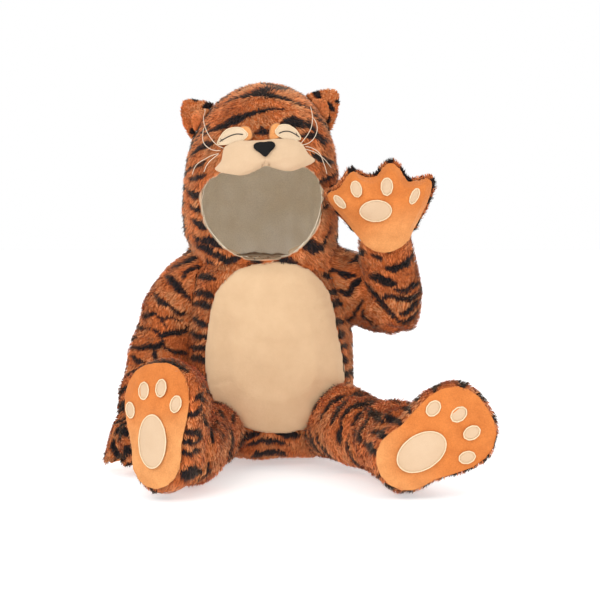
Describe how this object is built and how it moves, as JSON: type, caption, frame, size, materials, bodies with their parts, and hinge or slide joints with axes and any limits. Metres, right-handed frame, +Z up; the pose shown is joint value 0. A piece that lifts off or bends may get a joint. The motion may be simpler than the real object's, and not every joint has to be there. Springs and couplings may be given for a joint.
{
  "type": "tiger costume",
  "caption": "Plush tiger costume for an infant: eared hood with muzzle and whiskers, jumpsuit with stuffed belly, paw mitts and shoe covers, hollow, in a seated waving pose.",
  "frame": {"origin": "middle of the neck opening, where the wearer holds the costume up", "axes": "+Z up along the neck, the front of the costume faces -Y, +X towards the raised paw"},
  "size_m": [0.453, 0.4359, 0.4662],
  "materials": {
    "tiger_fur": "orange pile fabric printed with black stripes, leaning pile of about 7 mm",
    "orange_plush": "short-pile orange plush",
    "cream_fleece": "cream fleece, stuffed and smooth",
    "cream_satin": "cream satin, slightly glossy",
    "black_satin": "black satin, slightly glossy",
    "zip_tape": "woven polyester tape"
  },
  "bodies": {
    "root": {"belly_panel": "cream_fleece", "ear_left": "tiger_fur", "ear_lining_left": "orange_plush", "ear_lining_right": "orange_plush", "ear_right": "tiger_fur", "eye_corner_left": "orange_plush", "eye_corner_right": "orange_plush", "eye_patch_left": "cream_satin", "eye_patch_right": "cream_satin", "hood_back": "tiger_fur", "hood_front": "tiger_fur", "hood_lining": "cream_satin", "leg_left": "tiger_fur", "leg_right": "tiger_fur", "mitt_left_back": "tiger_fur", "mitt_left_pad_1": "cream_fleece", "mitt_left_palm": "orange_plush", "mitt_left_toe_pad_2": "cream_fleece", "mitt_left_toe_pad_3": "cream_fleece", "mitt_left_toe_pad_4": "cream_fleece", "mitt_left_toe_pad_5": "cream_fleece", "mitt_right_back": "tiger_fur", "mitt_right_pad_1": "cream_fleece", "mitt_right_palm": "orange_plush", "mitt_right_toe_pad_2": "cream_fleece", "mitt_right_toe_pad_3": "cream_fleece", "mitt_right_toe_pad_4": "cream_fleece", "mitt_right_toe_pad_5": "cream_fleece", "muzzle": "cream_fleece", "nose": "black_satin", "shoe_left_pad_1": "cream_fleece", "shoe_left_sole": "orange_plush", "shoe_left_toe_pad_2": "cream_fleece", "shoe_left_toe_pad_3": "cream_fleece", "shoe_left_toe_pad_4": "cream_fleece", "shoe_left_toe_pad_5": "cream_fleece", "shoe_left_upper": "tiger_fur", "shoe_right_pad_1": "cream_fleece", "shoe_right_sole": "orange_plush", "shoe_right_toe_pad_2": "cream_fleece", "shoe_right_toe_pad_3": "cream_fleece", "shoe_right_toe_pad_4": "cream_fleece", "shoe_right_toe_pad_5": "cream_fleece", "shoe_right_upper": "tiger_fur", "sleeve_left": "tiger_fur", "sleeve_right": "tiger_fur", "torso_back_left": "tiger_fur", "torso_back_right": "tiger_fur", "torso_front": "tiger_fur", "whiskers_left": "cream_satin", "whiskers_right": "cream_satin", "zip": "zip_tape"}
  },
  "joints": []
}
